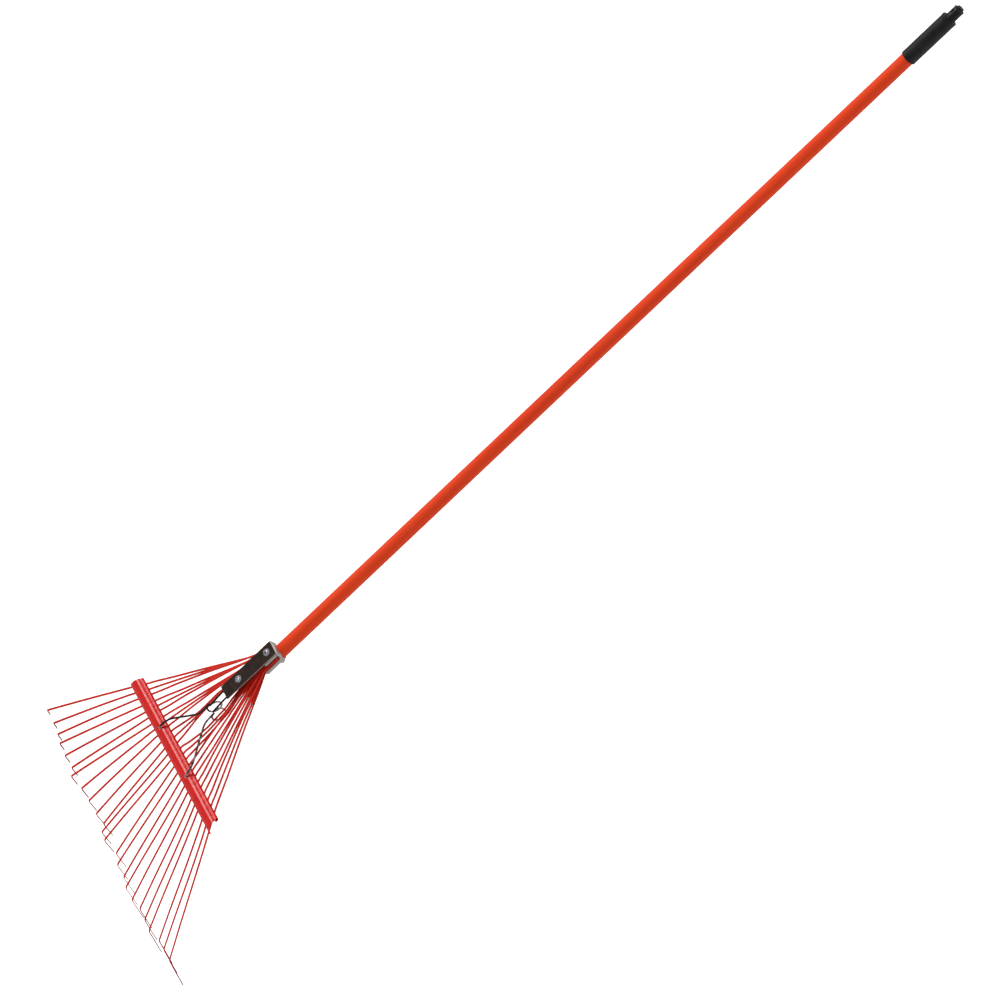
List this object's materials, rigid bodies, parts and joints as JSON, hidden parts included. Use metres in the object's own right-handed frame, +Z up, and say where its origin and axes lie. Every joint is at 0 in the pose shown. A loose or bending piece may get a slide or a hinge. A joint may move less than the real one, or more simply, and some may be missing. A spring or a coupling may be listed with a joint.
{
  "type": "leaf rake",
  "caption": "Spring-tine lawn rake: a fan of flat steel tines held by a clamped cast head, a spreader bar and a coiled wire brace, on a long straight handle with a rubber end grip.",
  "frame": {"origin": "on the handle axis, 2 mm inside the rear face of the head, where the handle enters the casting", "axes": "+Y along the handle from the head to the grip, +X along the spreader bar, +Z up, away from the ground side of the tines"},
  "size_m": [0.6473, 2.1893, 0.1158],
  "materials": {
    "fibreglass": "pigmented pultruded fibreglass, satin clear coat",
    "core_wood": "plain hardwood dowel",
    "grip_rubber": "moulded black rubber, fine matt grain",
    "casting": "as-cast aluminium, tumbled",
    "plate_black": "black oxide steel strip, sheared bright edges",
    "zinc": "bright zinc plate",
    "spring_wire": "black-coated spring wire, rubbed bright where it bends",
    "bar_red": "red enamel on pressed steel",
    "tine_red": "red enamel on spring steel strip, darker bare tips"
  },
  "bodies": {
    "root": {"handle_tube": "fibreglass", "handle_core": "core_wood", "end_grip": "grip_rubber", "head_casting": "casting", "clamp_plate": "plate_black", "rear_bolt": "zinc", "front_bolt": "zinc", "rear_nut": "zinc", "front_nut": "zinc", "brace_washer": "zinc", "brace_sleeve": "zinc", "brace_spring": "spring_wire", "spreader_bar": "bar_red", "tine_01": "tine_red", "tine_02": "tine_red", "tine_03": "tine_red", "tine_04": "tine_red", "tine_05": "tine_red", "tine_06": "tine_red", "tine_07": "tine_red", "tine_08": "tine_red", "tine_09": "tine_red", "tine_10": "tine_red", "tine_11": "tine_red", "tine_12": "tine_red", "tine_13": "tine_red", "tine_14": "tine_red", "tine_15": "tine_red", "tine_16": "tine_red", "tine_17": "tine_red", "tine_18": "tine_red", "tine_19": "tine_red", "tine_20": "tine_red", "tine_21": "tine_red", "tine_22": "tine_red", "tine_23": "tine_red", "tine_24": "tine_red"}
  },
  "joints": []
}
